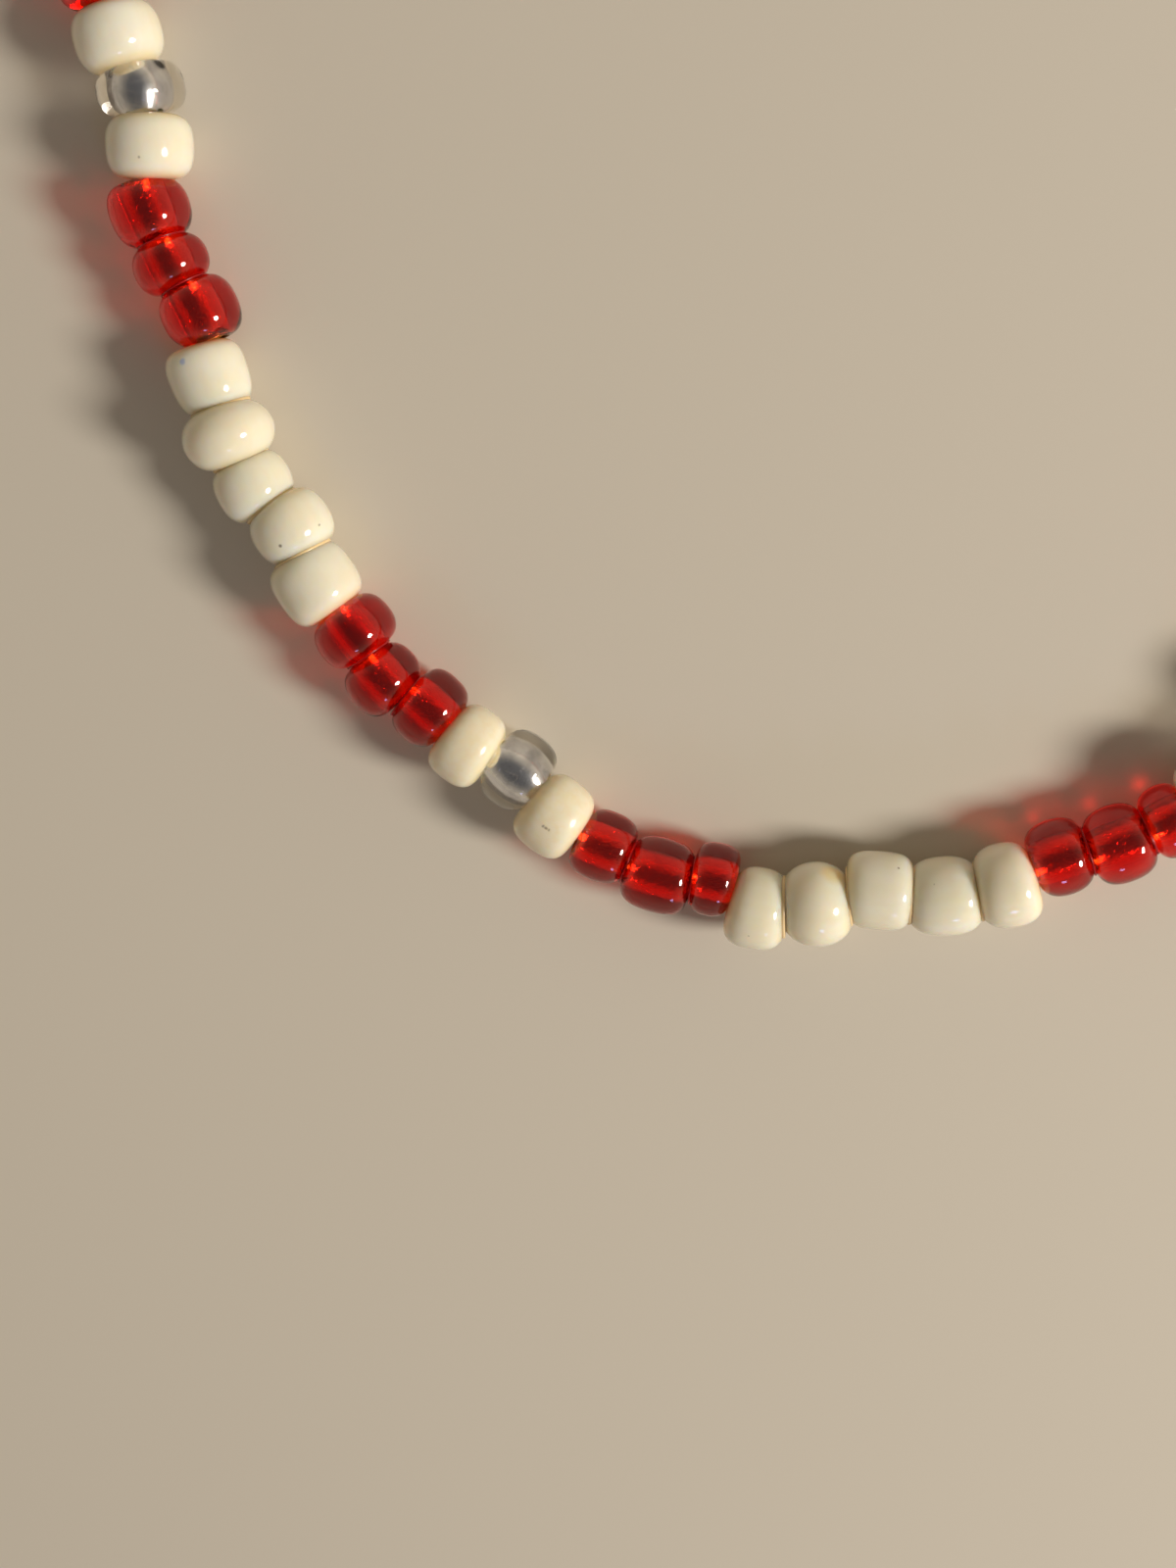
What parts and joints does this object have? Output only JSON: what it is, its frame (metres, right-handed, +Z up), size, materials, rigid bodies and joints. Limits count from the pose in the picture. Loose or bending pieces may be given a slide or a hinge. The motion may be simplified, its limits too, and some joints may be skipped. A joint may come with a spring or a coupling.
{
  "type": "beaded choker",
  "caption": "Single-strand choker of round glass beads in ivory, red and silver-lined clear, closed by a small barrel clasp.",
  "frame": {"origin": "middle of the loop's box, on the surface that the choker lies on", "axes": "+Z up from the surface, +Y from the front beads to the clasp, +X to the right seen from the front"},
  "size_m": [0.0882, 0.1393, 0.0047],
  "materials": {
    "ivory_glass": "opaque glossy cream glass",
    "red_glass": "transparent deep red glass with a bright lining",
    "silver_glass": "clear glass with a silver lining",
    "thread": "off-white beading thread",
    "clasp_metal": "polished silver-coloured metal"
  },
  "bodies": {
    "root": {"bead_string_left": "ivory_glass", "bead_string_right": "ivory_glass", "thread": "thread", "clasp": "clasp_metal"}
  },
  "joints": []
}
